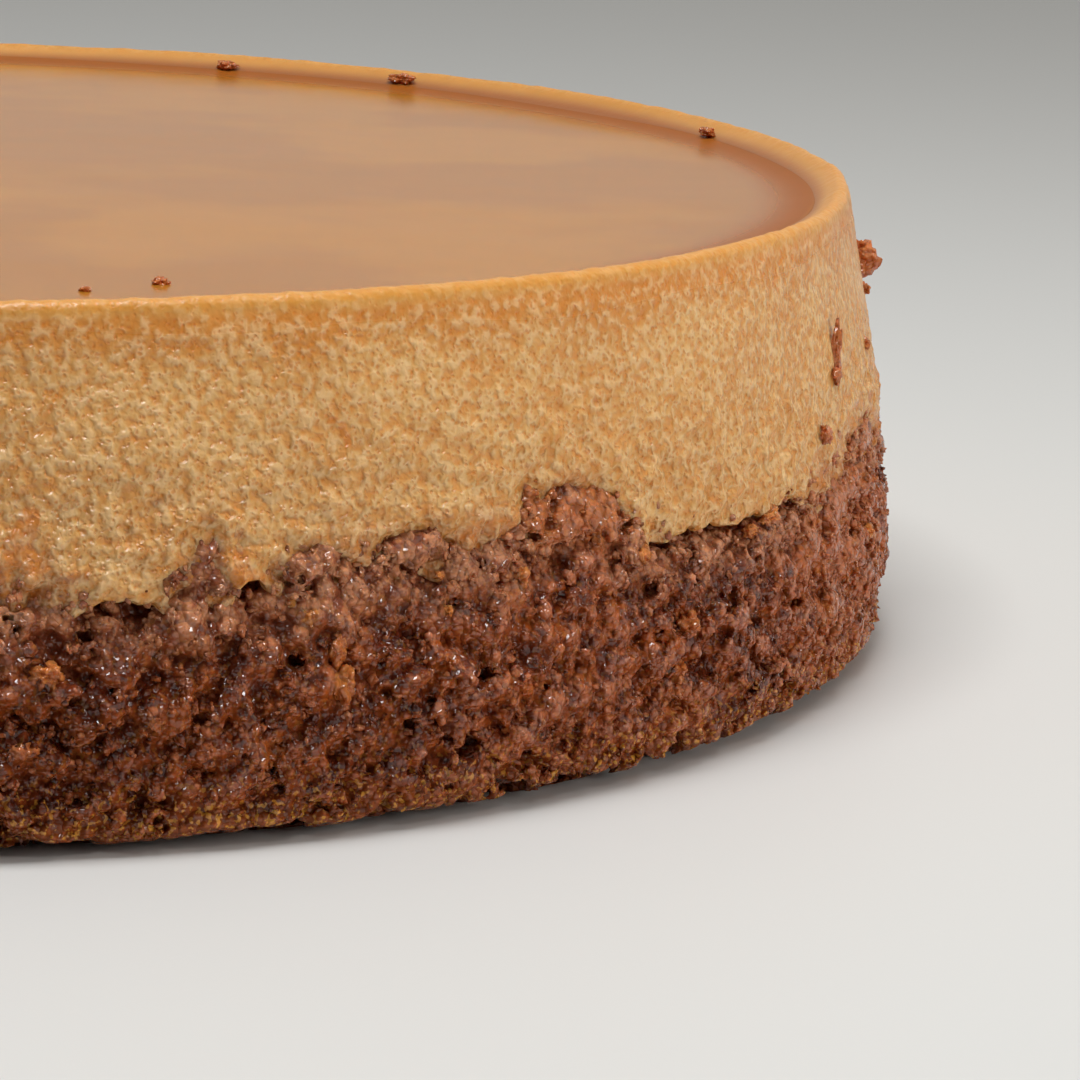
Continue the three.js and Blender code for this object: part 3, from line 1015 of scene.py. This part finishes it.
def scatter(name, host, weights, kind, seed):
    """One piece of many small crumbs seated on a host's surface, where the weights are high."""
    number, fineness, least, greatest = kind
    points = mesh_points(host.data)
    normals = np.empty(len(points) * 3, np.float32)
    host.data.vertices.foreach_get("normal", normals)
    normals = normals.reshape(-1, 3)
    draw = np.random.default_rng(seed)
    chosen = draw.choice(len(points), number, replace=False, p=weights / weights.sum())
    sizes = draw.uniform(least, greatest, (number, 1)) * draw.uniform(0.6, 1.5, (number, 3))
    tones = draw.uniform(-0.2, 0.2, number)
    shapes = [lumpy_ball((1, 1, 1), 100 + variant, fineness) for variant in range(24)]
    parts = []
    for seat, size, variant in zip(chosen, sizes, draw.integers(0, len(shapes), number)):
        ball, faces = shapes[variant]
        at = points[seat] - normals[seat] * 0.1 * size.min()
        reach = float(side_radius(at[2])) - 0.6 - size.max()
        at[:2] *= min(1.0, reach / math.hypot(at[0], at[1]))
        parts.append((ball * size + at, faces))
    joined, faces = join(parts)
    piece = make_piece(name, kept_in_box(joined), faces, host.data.materials[0])
    return piece, np.repeat(tones, len(shapes[0][0]))


def make_crumb_grains(name, sponge, kind, seed):
    """Loose granules all over the crumb, the finest part of its relief."""
    points = mesh_points(sponge.data)
    _, radius = polar(points)
    shallow = radius > side_radius(points[:, 2]) - 2.6
    greatest = kind[-1]
    weights = (shallow & (points[:, 2] > 1.2 + greatest)).astype(float)
    piece, tones = scatter(name, sponge, weights, kind, seed)
    set_sponge_attributes(piece.data, tones)
    return piece


def make_soaked_grains(flan, sponge):
    """Small crumbs that were dragged up over the custard's lower edge."""
    points = mesh_points(flan.data)
    azimuth, radius = polar(points)
    above = points[:, 2] - meeting_height(azimuth, MEETING_EDGE)
    shown = (radius > side_radius(points[:, 2]) - 2.2) & (above > -1.5) & (above < 7)
    weights = shown * np.exp(-np.maximum(above, 0) / 1.3) * (1 - 0.9 * overhang(azimuth))
    piece, tones = scatter("soaked_crumb_grains", flan, weights, SOAKED_GRAINS, 13)
    piece.data.materials[0] = sponge.data.materials[0]
    set_sponge_attributes(piece.data, tones)
    return piece


# ---------------------------------------------------------------- stage

def make_stage():
    floor_look = Look("pale_floor")
    floor_look.set(Base_Color=tint(214, 213, 209), Roughness=0.55)
    half = 3000.0
    corners = [(-half, -half, 0), (half, -half, 0), (half, half, 0), (-half, half, 0)]
    floor = make_piece("floor", corners, [[0, 1, 2, 3]], floor_look.material)


def make_light(name, position, target, sizes, power, colour, glints=True):
    """A rectangular light, its width level along X, that faces a target."""
    light = bpy.data.lights.new(name, "AREA")
    light.shape = "RECTANGLE"
    light.size, light.size_y = sizes[0] * MM, sizes[1] * MM
    light.energy = power
    light.color = colour
    lamp = bpy.data.objects.new(name, light)
    lamp.visible_glossy = glints
    bpy.context.scene.collection.objects.link(lamp)
    back = (Vector(position) - Vector(target)).normalized()
    upright = back.cross(Vector((1, 0, 0))).normalized()
    level = upright.cross(back)
    turned = Matrix([[level[i], upright[i], back[i]] for i in range(3)]).to_4x4()
    lamp.matrix_world = Matrix.Translation(Vector(position) * MM) @ turned


def make_lights():
    centre = (0, 0, 30)
    make_light("window", (-20, -110, 590), centre, (320, 160), 2.8, (0.97, 0.98, 1.0))
    make_light("strip_window", (60, -420, 540), centre, (160, 60), 0.4, (0.97, 0.98, 1.0))
    make_light("side_fill", (900, -300, 210), centre, (700, 400), 4.2, (1.0, 0.99, 0.97), False)
    bpy.context.scene.world = room_light()


def room_light():
    """Soft light from all round, brighter from behind and above than from the dim front."""
    world = bpy.data.worlds.new("room")
    world.use_nodes = True
    nodes, links = world.node_tree.nodes, world.node_tree.links
    direction = nodes.new("ShaderNodeTexCoord").outputs["Generated"]
    bright_side = nodes.new("ShaderNodeVectorMath")
    bright_side.operation = "DOT_PRODUCT"
    bright_side.inputs[1].default_value = (0.1, 0.9, 0.42)
    share = nodes.new("ShaderNodeMapRange")
    share.inputs["From Min"].default_value = -0.4
    share.inputs["From Max"].default_value = 0.9
    mixed = nodes.new("ShaderNodeMix")
    mixed.data_type = "RGBA"
    mixed.inputs["A"].default_value = tint(24, 24, 24)
    mixed.inputs["B"].default_value = tint(194, 193, 190)
    links.new(direction, bright_side.inputs[0])
    links.new(bright_side.outputs["Value"], share.inputs["Value"])
    links.new(share.outputs["Result"], mixed.inputs["Factor"])
    links.new(mixed.outputs["Result"], nodes["Background"].inputs["Color"])
    return world


def make_camera():
    """A close view of the cake's right front, from a little above its rim."""
    yaw, pitch, roll = (math.radians(value) for value in (8.719, 12.345, 2.176))
    forward = np.array([math.sin(yaw) * math.cos(pitch), math.cos(yaw) * math.cos(pitch),
                        -math.sin(pitch)])
    level = np.array([math.cos(yaw), -math.sin(yaw), 0.0])
    up = np.cross(level, forward)
    right = math.cos(roll) * level + math.sin(roll) * up
    up = -math.sin(roll) * level + math.cos(roll) * up
    camera = bpy.data.cameras.new("camera")
    camera.lens = 147.3
    camera.sensor_width = 36
    camera.clip_start = 0.01
    holder = bpy.data.objects.new("camera", camera)
    bpy.context.scene.collection.objects.link(holder)
    turned = Matrix([[right[i], up[i], -forward[i]] for i in range(3)]).to_4x4()
    holder.matrix_world = Matrix.Translation((0, -457.5 * MM, 105.9 * MM)) @ turned
    bpy.context.scene.camera = holder


def main():
    bpy.context.scene.view_settings.view_transform = "Standard"
    make_camera()
    make_lights()
    make_stage()
    flan = make_flan()
    sponge = make_sponge()
    custard, crumb = "baked_custard", "chocolate_crumb"
    pieces = [
        (flan, custard),
        (sponge, crumb),
        (make_crumb_grains("fine_crumb_grains", sponge, FINE_GRAINS, 11), crumb),
        (make_crumb_grains("coarse_crumb_grains", sponge, COARSE_GRAINS, 12), crumb),
        (make_soaked_grains(flan, sponge), crumb),
        (make_caramel(), custard),
        (make_pale_crumbs(sponge), crumb),
        (make_stuck_crumbs(), crumb),
    ]
    for piece, slot in pieces:
        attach(piece, "root")
    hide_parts("flan")
    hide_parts("chocolate_sponge")


main()
